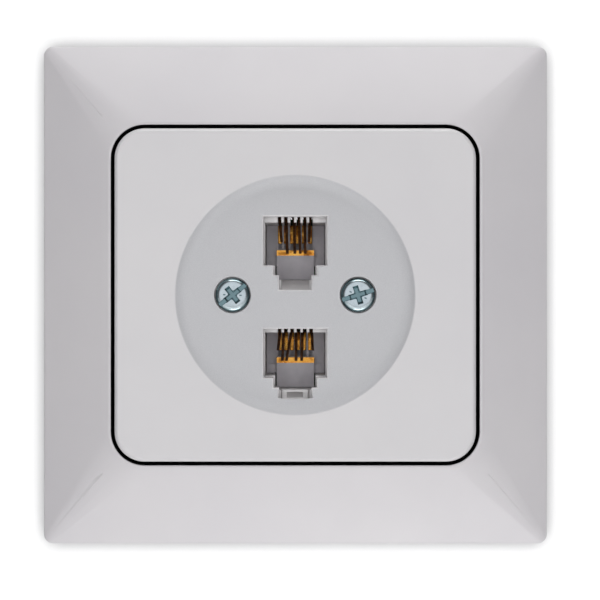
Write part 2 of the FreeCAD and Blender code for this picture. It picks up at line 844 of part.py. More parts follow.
def mounting_strap():
    """Steel plate on the wall: a window, slots for the box's screws, holes for claw screws and hooks."""
    body = piece("mounting_strap")
    blank = sketch(body, "front")
    cut_box(blank, "strap_wide", "strap_tall", "strap_cut")
    centred_box(blank, "insert_wide + window_play", "insert_tall + window_play")
    pad(body, blank, "strap_thick")
    holes = sketch(body, "front", "strap_thick")
    for side in (-1, 1):
        slot(holes, "%d * box_screw_spacing / 2" % side, "box_slot_wide", "box_slot_long")
        circle(holes, "%d * claw_screw_out" % side, "0", "claw_screw_shank + cover_screw_play")
    for side in (-1, 1):
        near, far = hook_sides(side, "fit_play")
        for up in (-1, 1):
            middle = "%d * hook_spread / 2" % up
            reach = "(hook_wide / 2 + fit_play)"
            box(holes, near, far, "%s - %s" % (middle, reach), "%s + %s" % (middle, reach))
    pocket(body, holes)
    notches = sketch(body, "front", "strap_thick")
    for side in (-1, 1):
        edge = "%d * strap_wide / 2" % side
        tip = "%d * (strap_wide / 2 - strap_notch)" % side
        outline(notches, [(edge, "-strap_notch"), (edge, "strap_notch"), (tip, "0")])
        edge = "%d * strap_tall / 2" % side
        tip = "%d * (strap_tall / 2 - strap_notch)" % side
        outline(notches, [("-strap_notch", edge), ("strap_notch", edge), ("0", tip)])
    pocket(body, notches)


def post_places():
    """The two opposite corners of the housing where the board is screwed down."""
    for side in (-1, 1):
        yield "%d * post_out" % side, "%d * -post_up" % side


def jack_window(drawn, drop):
    """The hole in the housing's face that a jack goes through."""
    side = "(jack_wide / 2 + fit_play)"
    top = "jack_top + jack_roof - (%s)" % drop
    box(drawn, "-" + side, side, top + " - jack_tall - fit_play", top + " + fit_play")


def strap_hook(body, side, up):
    """Hook on the flange's front that goes through the strap and catches over it."""
    near, far = hook_sides(side, "0")
    catch = "%d * (hook_root + hook_thick + hook_catch)" % side
    under = "-strap_thick - fit_play"
    drawn = sketch(body, "top", "%d * hook_spread / 2 - hook_wide / 2" % up)
    outline(
        drawn,
        [
            (near, "flange_thick / 2"),
            (far, "flange_thick / 2"),
            (far, under),
            (catch, under),
            (catch, under + " - hook_nose / 3"),
            (far, under + " - hook_nose"),
            (near, under + " - hook_nose"),
        ],
    )
    pad(body, drawn, "hook_wide")


def claw_lug(body, side):
    """Lug on the housing's side with a pin at each end for a claw's ears."""
    lug = sketch(body, "top", "-lug_wide / 2")
    near = "%d * (shell_wide / 2 - insert_wall / 2)" % side
    far = "%d * pivot_out" % side
    tip = "%d * (pivot_out + lug_reach)" % side
    low, high = "pivot_behind - lug_reach", "pivot_behind + lug_reach"
    flat_low, flat_high = "pivot_behind - lug_reach / 2", "pivot_behind + lug_reach / 2"
    outline(lug, [(near, low), (far, low), (tip, flat_low), (tip, flat_high), (far, high), (near, high)])
    pad(body, lug, "lug_wide")
    pin = sketch(body, "top", "-pin_long / 2")
    circle(pin, far, "pivot_behind", "pivot_across")
    pad(body, pin, "pin_long")


def insert_housing():
    """Moulded housing: a face for the jacks, a flange under the strap and a shell for the board."""
    body = piece("insert_housing")
    flange = sketch(body, "front")
    cut_box(flange, "flange_wide", "flange_tall", "flange_cut")
    pad(body, flange, "flange_thick", backward=True)
    nose = sketch(body, "front", "-flange_thick / 2")
    centred_box(nose, "insert_wide", "insert_tall")
    pad(body, nose, "insert_forward + flange_thick / 2")
    shell = sketch(body, "front", "-flange_thick / 2")
    cut_box(shell, "shell_wide", "shell_tall", "shell_cut")
    pad(body, shell, "shell_behind - flange_thick / 2", backward=True)
    rear = sketch(body, "front", "-shell_behind")
    centred_box(rear, "shell_wide - 2 * insert_wall", "shell_tall - 2 * insert_wall")
    pocket(body, rear, "shell_behind - flange_thick", forward=True)
    inside = sketch(body, "front", "-shell_behind")
    centred_box(inside, "insert_wide - 2 * insert_wall", "insert_tall - 2 * insert_wall")
    pocket(body, inside, "shell_behind + insert_forward - insert_face", forward=True)
    bosses = sketch(body, "front", "insert_forward - insert_face / 2")
    for side in (-1, 1):
        square(bosses, "%d * cover_screw_spacing / 2" % side, "0", "insert_boss_across")
    pad(body, bosses, "insert_forward - insert_face / 2 + insert_boss_behind", backward=True)
    posts = sketch(body, "front", "insert_forward - insert_face / 2")
    for across, up in post_places():
        square(posts, across, up, "post_across")
    pad(body, posts, "insert_forward - insert_face / 2 + board_behind", backward=True)
    windows = sketch(body, "front", "insert_forward")
    jack_window(windows, "0")
    jack_window(windows, "jack_pitch")
    pocket(body, windows, "insert_face + fit_play")
    threads = sketch(body, "front", "insert_forward")
    for side in (-1, 1):
        circle(threads, "%d * cover_screw_spacing / 2" % side, "0", "cover_screw_shank + thread_play")
    pocket(body, threads)
    threads = sketch(body, "front", "-board_behind")
    for across, up in post_places():
        circle(threads, across, up, "board_screw_shank + thread_play")
    pocket(body, threads, "board_screw_long", forward=True)
    for side in (-1, 1):
        claw_lug(body, side)
        for up in (-1, 1):
            strap_hook(body, side, up)


def circuit_board():
    """Board behind the jacks, with holes for its screws and for each contact wire's tail."""
    body = piece("circuit_board")
    blank = sketch(body, "front", "-board_behind")
    centred_box(blank, "board_wide", "board_tall")
    pad(body, blank, "board_thick", backward=True)
    holes = sketch(body, "front", "-board_behind")
    for across, up in post_places():
        circle(holes, across, up, "board_screw_shank + board_play")
    for drop in ("0", "jack_pitch"):
        for count in range(6):
            up = "jack_top + contact_run_up - contact_thick / 2 - " + drop
            square(holes, "%.1f * contact_pitch" % (count - 2.5), up, "pin_hole")
    pocket(body, holes)


def turned_group(label, profile, middles):
    """One node of like turned pieces; the profile is a list of (radius, place along Y)."""
    spots = [FreeCAD.Vector(value(radius), value(behind), 0) for radius, behind in profile]
    face = Part.Face(Part.makePolygon(spots + spots[:1]))
    turned = face.revolve(FreeCAD.Vector(), FreeCAD.Vector(0, 1, 0), 360)
    copies = [turned.translated(FreeCAD.Vector(value(u), 0, value(v))) for u, v in middles]
    group = doc.addObject("Part::Feature", label)
    group.Label = label
    group.Shape = Part.makeCompound(copies)
    group.Placement = FreeCAD.Placement()
    pieces.append(group)


def board_screws():
    """Two screws that hold the board on the housing's posts."""
    profile = [
        ("0", "board_back - board_screw_long"),
        ("board_screw_shank / 2", "board_back - board_screw_long"),
        ("board_screw_shank / 2", "board_back"),
        ("board_head_across / 2", "board_back"),
        ("board_head_across / 2", "board_back + board_head_tall"),
        ("0", "board_back + board_head_tall"),
    ]
    turned_group("board_screws", profile, post_places())


# Terminal blocks and blades


def terminal_block(side, name):
    """Moulded comb on the board: six gaps for wires, and a pocket across each for its blade."""
    body = piece("terminal_block_" + name)
    block = sketch(body, "front", "-board_back")
    box(block, "terminal_inside", "terminal_outside", "-terminal_tall / 2", "terminal_tall / 2")
    pad(body, block, "terminal_rise", backward=True)
    gaps = sketch(body, "side", "terminal_outside")
    pockets = sketch(body, "front", "-terminal_back")
    for count in range(6):
        middle = "%.1f * terminal_pitch" % (count - 2.5)
        half, mouth = "wire_gap / 2", "wire_gap_mouth / 2"
        outline(
            gaps,
            [
                ("terminal_back", "%s - %s" % (middle, mouth)),
                ("terminal_back", "%s + %s" % (middle, mouth)),
                ("terminal_back - lead_in", "%s + %s" % (middle, half)),
                ("terminal_back - wire_gap_deep", "%s + %s" % (middle, half)),
                ("terminal_back - wire_gap_deep", "%s - %s" % (middle, half)),
                ("terminal_back - lead_in", "%s - %s" % (middle, half)),
            ],
        )
        near, far = "blade_out - blade_thick / 2 - fit_play", "blade_out + blade_thick / 2 + fit_play"
        reach = "(blade_wide / 2 + fit_play)"
        box(pockets, near, far, "%s - %s" % (middle, reach), "%s + %s" % (middle, reach))
    pocket(body, gaps)
    pocket(body, pockets, "terminal_rise - blade_seat", forward=True)
    turn_about_y(body, 0 if side > 0 else 180)


def terminal_blade(side, name, count):
    """Forked blade that bites into a wire."""
    body = piece("terminal_blade_%s_%d" % (name, count))
    middle = "%.1f * terminal_pitch" % (3.5 - count)
    steps = [
        ("blade_floor", "blade_wide / 2"),
        ("blade_back", "blade_wide / 2"),
        ("blade_back", "blade_fork_mouth / 2"),
        ("blade_back - lead_in", "blade_fork / 2"),
        ("blade_back - blade_fork_deep", "blade_fork / 2"),
    ]
    upper = [(behind, "%s + %s" % (middle, off)) for behind, off in steps]
    lower = [(behind, "%s - %s" % (middle, off)) for behind, off in reversed(steps)]
    drawn = sketch(body, "side", "blade_out - blade_thick / 2")
    outline(drawn, upper + lower)
    pad(body, drawn, "blade_thick")
    turn_about_y(body, 0 if side > 0 else 180)


# Claws


def claw(side, name):
    """Bent steel claw: two ears on the pins, a web, and a toothed foot that the screw pulls forward."""
    body = piece("claw_" + name)
    section = sketch(body, "top", "-claw_wide / 2")
    web_far = "claw_web_out + claw_thick"
    foot_far = "claw_foot_behind + claw_foot_thick"
    outline(
        section,
        [
            ("claw_web_out", "claw_web_start"),
            (web_far, "claw_web_start"),
            (web_far, "claw_foot_behind"),
            ("claw_foot_reach", "claw_foot_behind"),
            ("claw_foot_reach", foot_far),
            ("claw_web_out", foot_far),
        ],
    )
    pad(body, section, "claw_wide")
    inner = "(lug_wide / 2 + claw_ear_gap)"
    for start in (inner, "-%s - claw_ear_thick" % inner):
        plate = sketch(body, "top", start)
        outline(
            plate,
            [
                ("-claw_ear_reach", "-claw_ear_reach / 2"),
                ("-claw_ear_reach / 2", "-claw_ear_reach"),
                ("claw_ear_reach / 2", "-claw_ear_reach"),
                ("claw_ear_reach", "-claw_ear_reach / 2"),
                ("claw_ear_reach", "claw_ear_reach / 2"),
                (web_far, "claw_ear_long"),
                ("claw_web_out", "claw_ear_long"),
                ("-claw_ear_reach", "claw_ear_reach / 2"),
            ],
        )
        pad(body, plate, "claw_ear_thick")
    eye = sketch(body, "top", "claw_wide / 2")
    circle(eye, "0", "0", "pivot_across + pivot_play")
    pocket(body, eye)
    gap = sketch(body, "front", "0")
    half = "((claw_screw_shank + claw_screw_play) / 2)"
    box(gap, "claw_slot_inner", "claw_screw_out - pivot_out + %s" % half, "-" + half, half)
    pocket(body, gap, "2 * claw_foot_behind")
    teeth = sketch(body, "front", "0")
    for up in (-1, 1):
        middle = "%d * claw_wide / 6" % up
        outline(
            teeth,
            [
                ("claw_foot_reach - claw_tooth", middle),
                ("claw_foot_reach + claw_tooth", "%s - claw_tooth" % middle),
                ("claw_foot_reach + claw_tooth", "%s + claw_tooth" % middle),
            ],
        )
    pocket(body, teeth, "2 * claw_foot_behind")
    turn_about_y(body, 0 if side > 0 else 180)
    place(body, "%d * pivot_out" % side, "pivot_behind")


def claw_screw(side, name):
    """Slotted screw through the strap that works a claw."""
    body = turned_screw(
        "claw_screw_" + name,
        "claw_screw_shank",
        "claw_screw_long",
        "claw_head_across",
        "claw_head_tall",
    )
    recess(body, "claw_head_tall", "claw_head_across", "claw_slot_wide", "claw_slot_deep")
    place(body, "%d * claw_screw_out" % side, "-strap_thick")


def build():
    """Make every sub-part."""
    fill_sheet()
    surround_frame()
    centre_plate()
    mounting_strap()
    insert_housing()
    circuit_board()
    board_screws()
    for side, name in ((-1, "left"), (1, "right")):
        cover_screw(side, name)
        terminal_block(side, name)
        for count in range(1, 7):
            terminal_blade(side, name, count)
        claw(side, name)
        claw_screw(side, name)
    for name, drop in (("upper", "0"), ("lower", "jack_pitch")):
        jack_housing(name, drop)
        contact_carrier(name, drop)
        contact_bar(name, drop)
        for count in range(1, 7):
            contact_wire(name, drop, count)


def check():
    """Stop before anything is written when an object has failed or a shape isn't sound."""
    doc.recompute()
    for item in doc.Objects:
        if "Invalid" in item.State or "Error" in item.State:
            raise RuntimeError("failed object: " + item.Name)
        cut = item.TypeId in ("PartDesign::Pocket", "PartDesign::Groove")
        if cut and item.BaseFeature.Shape.Volume - item.Shape.Volume < 1e-6:
            print("cut that removes nothing:", item.Name)
    for item in pieces:
        if item.Shape.isNull() or not item.Shape.isValid():
            raise RuntimeError("unsound shape: " + item.Label)


def write():
    """Write one STEP file for each sub-part."""
    os.makedirs("parts", exist_ok=True)
    for item in pieces:
        item.Shape.exportStep("parts/%s.step" % item.Label)
        print("%-26s %2d solids %10.2f mm3" % (item.Label, len(item.Shape.Solids), item.Shape.Volume))


build()
check()
write()
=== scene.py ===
# %% [markdown]
# # Telephone wall socket
# A flush socket sits in a wall box: a sloped square surround, a centre plate with a round dish, and behind
# them two stacked jacks on an insert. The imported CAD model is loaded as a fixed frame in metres, and every
# piece goes where the CAD says. A size in millimetres is multiplied by MM where it is used.

# %% Load the frame
import json
import math

import bmesh
import bpy
from mathutils import Matrix, Vector


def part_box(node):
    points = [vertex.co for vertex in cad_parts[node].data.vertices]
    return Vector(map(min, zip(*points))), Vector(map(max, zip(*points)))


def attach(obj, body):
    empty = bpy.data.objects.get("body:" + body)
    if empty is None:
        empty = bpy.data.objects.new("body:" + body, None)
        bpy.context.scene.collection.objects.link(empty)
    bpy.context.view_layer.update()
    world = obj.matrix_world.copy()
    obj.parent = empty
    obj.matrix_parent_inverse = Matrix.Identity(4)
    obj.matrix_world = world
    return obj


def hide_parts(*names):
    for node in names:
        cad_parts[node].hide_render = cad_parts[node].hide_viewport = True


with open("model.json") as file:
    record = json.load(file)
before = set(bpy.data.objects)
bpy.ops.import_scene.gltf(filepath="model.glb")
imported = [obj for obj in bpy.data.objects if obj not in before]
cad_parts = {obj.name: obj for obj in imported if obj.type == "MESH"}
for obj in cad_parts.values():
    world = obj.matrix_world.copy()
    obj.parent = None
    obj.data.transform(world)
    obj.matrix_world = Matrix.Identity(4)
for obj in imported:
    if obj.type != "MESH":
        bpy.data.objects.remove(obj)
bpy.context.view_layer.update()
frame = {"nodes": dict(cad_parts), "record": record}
parts = frame["nodes"]
MM = 0.001

# %% [markdown]
# ## The camera
# The socket is seen straight on. The slopes of the surround and the jacks' side walls show that the camera
# was close, so it is a perspective camera 0.3 m away, and not an orthographic one. A 113 mm lens frames the
# 82 mm surround with a little white round it.

# %% Place the camera
camera_data = bpy.data.cameras.new("front_camera")
camera_data.lens = 113
camera_data.sensor_width = 36
camera_data.clip_start = 0.01
camera = bpy.data.objects.new("front_camera", camera_data)
camera.location = (0.76 * MM, -311 * MM, -0.80 * MM)
camera.rotation_euler = (math.radians(90), 0, 0)
bpy.context.scene.collection.objects.link(camera)
bpy.context.scene.camera = camera
bpy.context.scene.view_settings.view_transform = "Standard"
print("camera at", tuple(camera.location))

# %% [markdown]
# ## Helpers for materials
# Paint charts and screens give a colour as an sRGB hex value, while the shaders take linear light. One
# function turns the first into the second. Another adds a shader node with its settings and its links.

# %% Colours and shader nodes
def linear(hex_colour):
    """The linear colour of an sRGB hex value."""
    levels = [int(hex_colour[at : at + 2], 16) / 255 for at in (1, 3, 5)]
    light = [level / 12.92 if level <= 0.04045 else ((level + 0.055) / 1.055) ** 2.4 for level in levels]
    return light + [1.0]


def add_node(tree, kind, inputs=None, **settings):
    """A new node with its settings; an input that is another node's output is linked to it."""
    made = tree.nodes.new(kind)
    for setting, value in settings.items():
        setattr(made, setting, value)
    for socket, value in (inputs or {}).items():
        if isinstance(value, bpy.types.NodeSocket):
            tree.links.new(value, made.inputs[socket])
        else:
            made.inputs[socket].default_value = value
    return made


print("surround colour in linear light:", [round(level, 3) for level in linear("#cfccce")])


# %% [markdown]
# Every finish here follows one pattern: a colour that drifts a little from place to place, a roughness that
# drifts too, and a fine relief. What differs is how large and how strong each of them is, so one function
# takes those as values. The sizes are in millimetres, and the noise scale is worked out from them.

# %% One finish from a few values
COLOUR_A, COLOUR_B, COLOUR_OUT = 6, 7, 2


def object_place(tree):
    """The place of each point in the CAD frame, in metres."""
    return add_node(tree, "ShaderNodeTexCoord").outputs["Object"]


def noise(tree, place, size_mm, stretch=(1, 1, 1)):
    """A noise whose blobs measure about size_mm, longer along an axis where stretch is small."""
    placed = add_node(tree, "ShaderNodeMapping", {"Vector": place, "Scale": stretch})
    settings = {"Vector": placed.outputs["Vector"], "Scale": 1 / (size_mm * MM), "Detail": 3.0}
    return add_node(tree, "ShaderNodeTexNoise", settings).outputs["Fac"]


def spread(tree, factor, low, high):
    """A noise, which lies mostly from 0.3 to 0.7, spread from low to high."""
    settings = {"Value": factor, "From Min": 0.3, "From Max": 0.7, "To Min": low, "To Max": high}
    return add_node(tree, "ShaderNodeMapRange", settings).outputs["Result"]


def blend_colours(tree, factor, first, second):
    """The first colour where the factor is 0, the second where it is 1."""
    mix = add_node(tree, "ShaderNodeMix", data_type="RGBA")
    for socket, value in ((0, factor), (COLOUR_A, first), (COLOUR_B, second)):
        if isinstance(value, bpy.types.NodeSocket):
            tree.links.new(value, mix.inputs[socket])
        else:
            mix.inputs[socket].default_value = value
    return mix.outputs[COLOUR_OUT]


def finish(name, colours, roughness, drift_mm, relief_mm, depth_mm, stretch=(1, 1, 1), **values):
    """A material with two close colours, a range of roughness and a fine relief."""
    made = bpy.data.materials.new(name)
    made.use_nodes = True
    tree = made.node_tree
    tree.nodes.clear()
    place = object_place(tree)
    first, second = (linear(colour) for colour in colours)
    drift = spread(tree, noise(tree, place, drift_mm), 0, 1)
    relief = noise(tree, place, relief_mm, stretch)
    bump = add_node(tree, "ShaderNodeBump", {"Height": relief, "Distance": depth_mm * MM})
    sockets = {
        "Base Color": blend_colours(tree, drift, first, second),
        "Roughness": spread(tree, noise(tree, place, drift_mm / 3), *roughness),
        "Normal": bump.outputs["Normal"],
    }
    shader = add_node(tree, "ShaderNodeBsdfPrincipled", sockets | values)
    add_node(tree, "ShaderNodeOutputMaterial", {"Surface": shader.outputs["BSDF"]})
    return made


# %% [markdown]
# ## Plastics
# The surround and the plate are ABS, lacquered from the front, which gives the eye a satin white with a faint
# orange peel. ABS has an IOR of about 1.53. The peel's waves are about 0.6 mm long and only microns deep. The
# walls of the narrow gap between the two are painted a matt black, as painted shade for the deep gap.

# %% Where the gap's shade is painted
# The centres of the plate's corners, in metres; the 1.0 keeps the depth from counting
CORNER_CENTRES = (24.05 * MM, 1.0, 21.8 * MM)


def arithmetic(tree, kind, *values):
    """One sum on values or outputs, named by the kind."""
    return add_node(tree, "ShaderNodeMath", dict(enumerate(values)), operation=kind).outputs["Value"]


def vector_sum(tree, kind, *values):
    """The outputs of one sum on vectors, named by the kind."""
    return add_node(tree, "ShaderNodeVectorMath", dict(enumerate(values)), operation=kind).outputs


def axes_of(tree, place):
    """The X, Y and Z of a place as outputs of their own."""
    return add_node(tree, "ShaderNodeSeparateXYZ", {"Vector": place}).outputs


def ramp(tree, value, start_mm, end_mm):
    """0 where a length is at the start, 1 where it is at the end."""
    edge = {"Value": value, "From Min": start_mm * MM, "From Max": end_mm * MM}
    return add_node(tree, "ShaderNodeMapRange", edge).outputs["Result"]


def from_corner_lines(tree, place):
    """How far a point lies outside the upright box whose edges are the plate's corner centres."""
    away = vector_sum(tree, "ABSOLUTE", place)["Vector"]
    away = vector_sum(tree, "SUBTRACT", away, CORNER_CENTRES)["Vector"]
    away = vector_sum(tree, "MAXIMUM", away, (0, 0, 0))["Vector"]
    return vector_sum(tree, "LENGTH", away)["Value"]


def gap_shade_mask(tree, place, unshaded_mm, painted_shade_mm, level_mm):
    """1 at the painted shade distance from the corner lines and 0 at the unshaded one, all behind that level
    along Y; it marks the gap's painted shade.
    """
    behind = ramp(tree, axes_of(tree, place)["Y"], level_mm - 0.1, level_mm + 0.1)
    beside = ramp(tree, from_corner_lines(tree, place), unshaded_mm, painted_shade_mm)
    return arithmetic(tree, "MULTIPLY", beside, behind)


def main_shader(tree):
    """The shader that a finish is built round."""
    return next(node for node in tree.nodes if node.type == "BSDF_PRINCIPLED")


def repaint(made, mask_of, colour, roughness=None, gloss=None):
    """Put another colour, and perhaps another roughness or gloss, over a material where a mask is 1."""
    tree = made.node_tree
    shader = main_shader(tree)
    mask = mask_of(tree, object_place(tree))
    under = shader.inputs["Base Color"].links[0].from_socket
    tree.links.new(blend_colours(tree, mask, under, colour(tree)), shader.inputs["Base Color"])
    if roughness is not None:
        smooth = shader.inputs["Roughness"].links[0].from_socket
        matt = add_node(tree, "ShaderNodeMapRange", {"Value": mask, "To Min": smooth, "To Max": roughness})
        tree.links.new(matt.outputs["Result"], shader.inputs["Roughness"])
    if gloss is not None:
        level = add_node(tree, "ShaderNodeMapRange", {"Value": mask, "To Min": 0.5, "To Max": gloss})
        tree.links.new(level.outputs["Result"], shader.inputs["Specular IOR Level"])
    return tree, mask


def paint_gap_shade(made, unshaded_mm, painted_shade_mm, level_mm):
    """Paint the walls of the deep, narrow gap a matt black: painted shade."""
    repaint(
        made,
        lambda tree, place: gap_shade_mask(tree, place, unshaded_mm, painted_shade_mm, level_mm),
        lambda tree: linear("#050505"),
        0.9,
        0.05,
    )


# %% Surround and other mouldings
surround_plastic = finish(
    "lacquered_abs", ("#cfccce", "#cbc8cb"), (0.36, 0.44), 22, 0.6, 0.002, IOR=1.53
)
# Painted shade: the surround's walls in the gap round the plate are black
paint_gap_shade(surround_plastic, 5.75, 5.6, -10.25)
jack_plastic = finish("plain_moulded_pbt", ("#e6e4e4", "#dcdada"), (0.42, 0.55), 3, 0.25, 0.002, IOR=1.55)
carrier_plastic = finish("grey_moulded_pbt", ("#b9b5ba", "#adaaaf"), (0.45, 0.6), 2, 0.2, 0.002, IOR=1.55)
housing_plastic = finish("grey_moulded_abs", ("#c9c8c6", "#bfbebc"), (0.45, 0.58), 14, 0.35, 0.004, IOR=1.53)
terminal_plastic = finish("moulded_nylon", ("#b9bbbb", "#adb0b0"), (0.38, 0.5), 4, 0.25, 0.003, IOR=1.53)
plastics = (surround_plastic, jack_plastic, carrier_plastic, housing_plastic, terminal_plastic)
print("plastics:", [made.name for made in plastics])

# %% [markdown]
# The plate's dish was spark eroded in the tool, so it is a matt grey next to the satin plate. One
# material carries both: a mask in Object coordinates is 1 within the dish's radius, down to the level of
# its floor, so the bevels round the apertures stay bright. The grains are about 0.12 mm across.

# %% Plate with its textured dish
DISH_EDGE, GRAIN = 19.12, 0.12


def dish_mask(tree, place):
    """1 in the dish and 0 outside it, with a soft edge at the lip."""
    level_place = vector_sum(tree, "MULTIPLY", place, (1, 0, 1))["Vector"]
    radius = vector_sum(tree, "LENGTH", level_place)["Value"]
    within = ramp(tree, radius, DISH_EDGE + 0.12, DISH_EDGE - 0.12)
    return arithmetic(tree, "MULTIPLY", within, ramp(tree, axes_of(tree, place)["Y"], -9.62, -9.68))


def grain_colour(tree):
    """Two close greys in grains."""
    grains = spread(tree, noise(tree, object_place(tree), GRAIN), 0, 1)
    return blend_colours(tree, grains, linear("#c6c6c8"), linear("#bbbbbe"))


def add_relief(tree, height, depth_mm):
    """Lay another relief over the Normal of a finish."""
    normal = main_shader(tree).inputs["Normal"]
    relief = {"Height": height, "Distance": depth_mm * MM, "Normal": normal.links[0].from_socket}
    tree.links.new(add_node(tree, "ShaderNodeBump", relief).outputs["Normal"], normal)


plate_plastic = finish(
    "lacquered_abs_with_eroded_dish", ("#d3d1d2", "#cfcdcf"), (0.36, 0.44), 22, 0.6, 0.002, IOR=1.53
)
tree, mask = repaint(plate_plastic, dish_mask, grain_colour, 0.7)
add_relief(tree, arithmetic(tree, "MULTIPLY", noise(tree, object_place(tree), GRAIN), mask), 0.01)
# Painted shade: the plate's walls in the gap are black
paint_gap_shade(plate_plastic, 4.2, 4.4, -10.35)
print("dish grain scale:", round(1 / (GRAIN * MM)), "per metre")

# %% [markdown]
# ## Metals
# The screws are steel with bright zinc and a clear bluish passivation. The strap and claws are pressed from
# zinc plated sheet, which shows the rolling direction as fine lines. The contacts are spring bronze under
# a hard gold plating, and the blades are tin plated. A metal keeps the default IOR.

# %% Metal finishes
ALONG_Z = (1, 1, 0.06)
screw_zinc = finish(
    "bright_blue_zinc", ("#d7e2e6", "#c9d6db"), (0.14, 0.26), 1.2, 0.15, 0.002, Metallic=1.0
)
claw_screw_zinc = finish("zinc_screw", ("#c8ccca", "#b6bbba"), (0.26, 0.4), 2, 0.2, 0.003, Metallic=1.0)
strap_steel = finish(
    "zinc_plated_sheet", ("#c2c6c9", "#b1b5b8"), (0.3, 0.46), 9, 0.22, 0.003, ALONG_Z, Metallic=1.0
)
claw_steel = finish(
    "zinc_plated_claw", ("#bcc0c1", "#a8acae"), (0.32, 0.48), 5, 0.22, 0.003, ALONG_Z, Metallic=1.0
)
blade_tin = finish("tin_plated_bronze", ("#d3d2cd", "#c2c0ba"), (0.25, 0.4), 1.5, 0.15, 0.002, Metallic=1.0)
contact_gold = finish(
    "gold_plated_bronze", ("#f6bb5c", "#dc9038"), (0.14, 0.26), 1.1, 0.12, 0.001, Metallic=1.0
)
metals = (screw_zinc, claw_screw_zinc, strap_steel, claw_steel, blade_tin, contact_gold)
print("metals:", [made.name for made in metals])

# %% [markdown]
# Some metal is painted darker where it lies in shade. The cover screws are a darker blue-grey below their top
# faces, on the rounded edges and in the recesses: painted shade and painted dark reflection, over a slight
# blue-green film in the recess corners. The spring wires are a dark brown gold, which paints the shade that
# the sloping wires lie in. They are darkest at their front folds, and they have some tarnish patches. The
# flat parts behind them have only some orange patches.

# %% Films and painted shade on the metals
def head_shade_and_film_mask(tree, place):
    """1 below the level of the cover screws' top faces, down to where the heads end: painted shade on the
    rounded edges and in the recesses.
    """
    depth = axes_of(tree, place)["Y"]
    return arithmetic(tree, "MULTIPLY", ramp(tree, depth, -9.78, -9.55), ramp(tree, depth, -8.1, -8.2))


def patch_mask(tree, place):
    """1 in some patches of about 2 mm."""
    patches = spread(tree, noise(tree, place, 2.2), -1.7, 1.0)
    return add_node(tree, "ShaderNodeClamp", {"Value": patches}).outputs["Result"]


def fold_shade_and_tarnish_mask(tree, place):
    """1 at the contacts' front folds, where it paints shade, and in some tarnish patches."""
    folds = ramp(tree, axes_of(tree, place)["Y"], -4.2, -5.4)
    return arithmetic(tree, "MAXIMUM", folds, patch_mask(tree, place))


# The spring wires' dark brown gold is painted shade; the legs keep the bright gold
spring_gold_in_painted_shade = finish("spring_gold_dark_for_painted_shade", ("#8a5826", "#4a2c14"), (0.3, 0.45), 1.6, 0.12, 0.002, Metallic=1.0)
# Painted shade and painted dark reflection on the cover screws' heads, over a slight film in the recess
# corners
repaint(screw_zinc, head_shade_and_film_mask, lambda tree: linear("#7d979c"))
# Painted shade at the spring wires' front folds, and dark tarnish patches
repaint(spring_gold_in_painted_shade, fold_shade_and_tarnish_mask, lambda tree: linear("#2e1c10"), 0.5)
repaint(contact_gold, patch_mask, lambda tree: linear("#8a4c1c"), 0.5)
print("films on:", screw_zinc.name, spring_gold_in_painted_shade.name, contact_gold.name)

# %% [markdown]
# The claw screws have an M3.5 thread of 0.6 mm pitch. It is a helix, so its phase is the way along Y plus the
# turn about the screw's own axis, and a relief of that phase stands in for some thirty turns of real faces.

# %% Threads on the claw screws
CLAW_SCREW_OUT, THREAD_PITCH = 25.9, 0.6


def add_thread(made):
    """Lay a helical relief over the Normal of a material, behind the screw's head."""
    tree = made.node_tree
    axes = axes_of(tree, object_place(tree))
    across = arithmetic(tree, "SUBTRACT", arithmetic(tree, "ABSOLUTE", axes["X"]), CLAW_SCREW_OUT * MM)
    turn = arithmetic(tree, "DIVIDE", arithmetic(tree, "ARCTAN2", axes["Z"], across), math.tau)
    phase = arithmetic(tree, "ADD", arithmetic(tree, "DIVIDE", axes["Y"], THREAD_PITCH * MM), turn)
    ridge = arithmetic(tree, "PINGPONG", phase, 0.5)
    height = arithmetic(tree, "MULTIPLY", ridge, ramp(tree, axes["Y"], -1.0, -0.8))
    add_relief(tree, height, 0.6)


add_thread(claw_screw_zinc)
print("turns of thread on 21 mm:", round(21 / THREAD_PITCH))

# %% [markdown]
# The circuit board is glass laminate under green solder resist. Copper tracks show through the resist as
# lighter green bands. They run across from the contacts' tails to the terminals, about 1.9 mm apart.

# %% Circuit board
TRACK_PITCH, TRACKS_UP = 1.9, 13.0
board_laminate = finish("green_solder_resist", ("#2f7043", "#255e38"), (0.22, 0.34), 6, 0.4, 0.004, IOR=1.5)


def track_mask(tree, place):
    """1 on level bands 0.5 mm wide that lie between the contacts and the terminals."""
    axes = axes_of(tree, place)
    band = arithmetic(tree, "PINGPONG", arithmetic(tree, "DIVIDE", axes["Z"], TRACK_PITCH * MM), 0.5)
    outwards = arithmetic(tree, "ABSOLUTE", axes["X"])
    upwards = arithmetic(tree, "ABSOLUTE", axes["Z"])
    inside = arithmetic(tree, "MULTIPLY", ramp(tree, outwards, 12.5, 12.4), ramp(tree, outwards, 1.2, 1.3))
    inside = arithmetic(tree, "MULTIPLY", inside, ramp(tree, upwards, TRACKS_UP, TRACKS_UP - 0.1))
    return arithmetic(tree, "MULTIPLY", arithmetic(tree, "LESS_THAN", band, 0.13), inside)


repaint(board_laminate, track_mask, lambda tree: linear("#4c9a5c"))
print("tracks across the board:", int(2 * TRACKS_UP / TRACK_PITCH))

# %% [markdown]
# The record names one slot for each CAD node. The slot is filled with the finish of that name, and the node
# itself stays as it was packed.

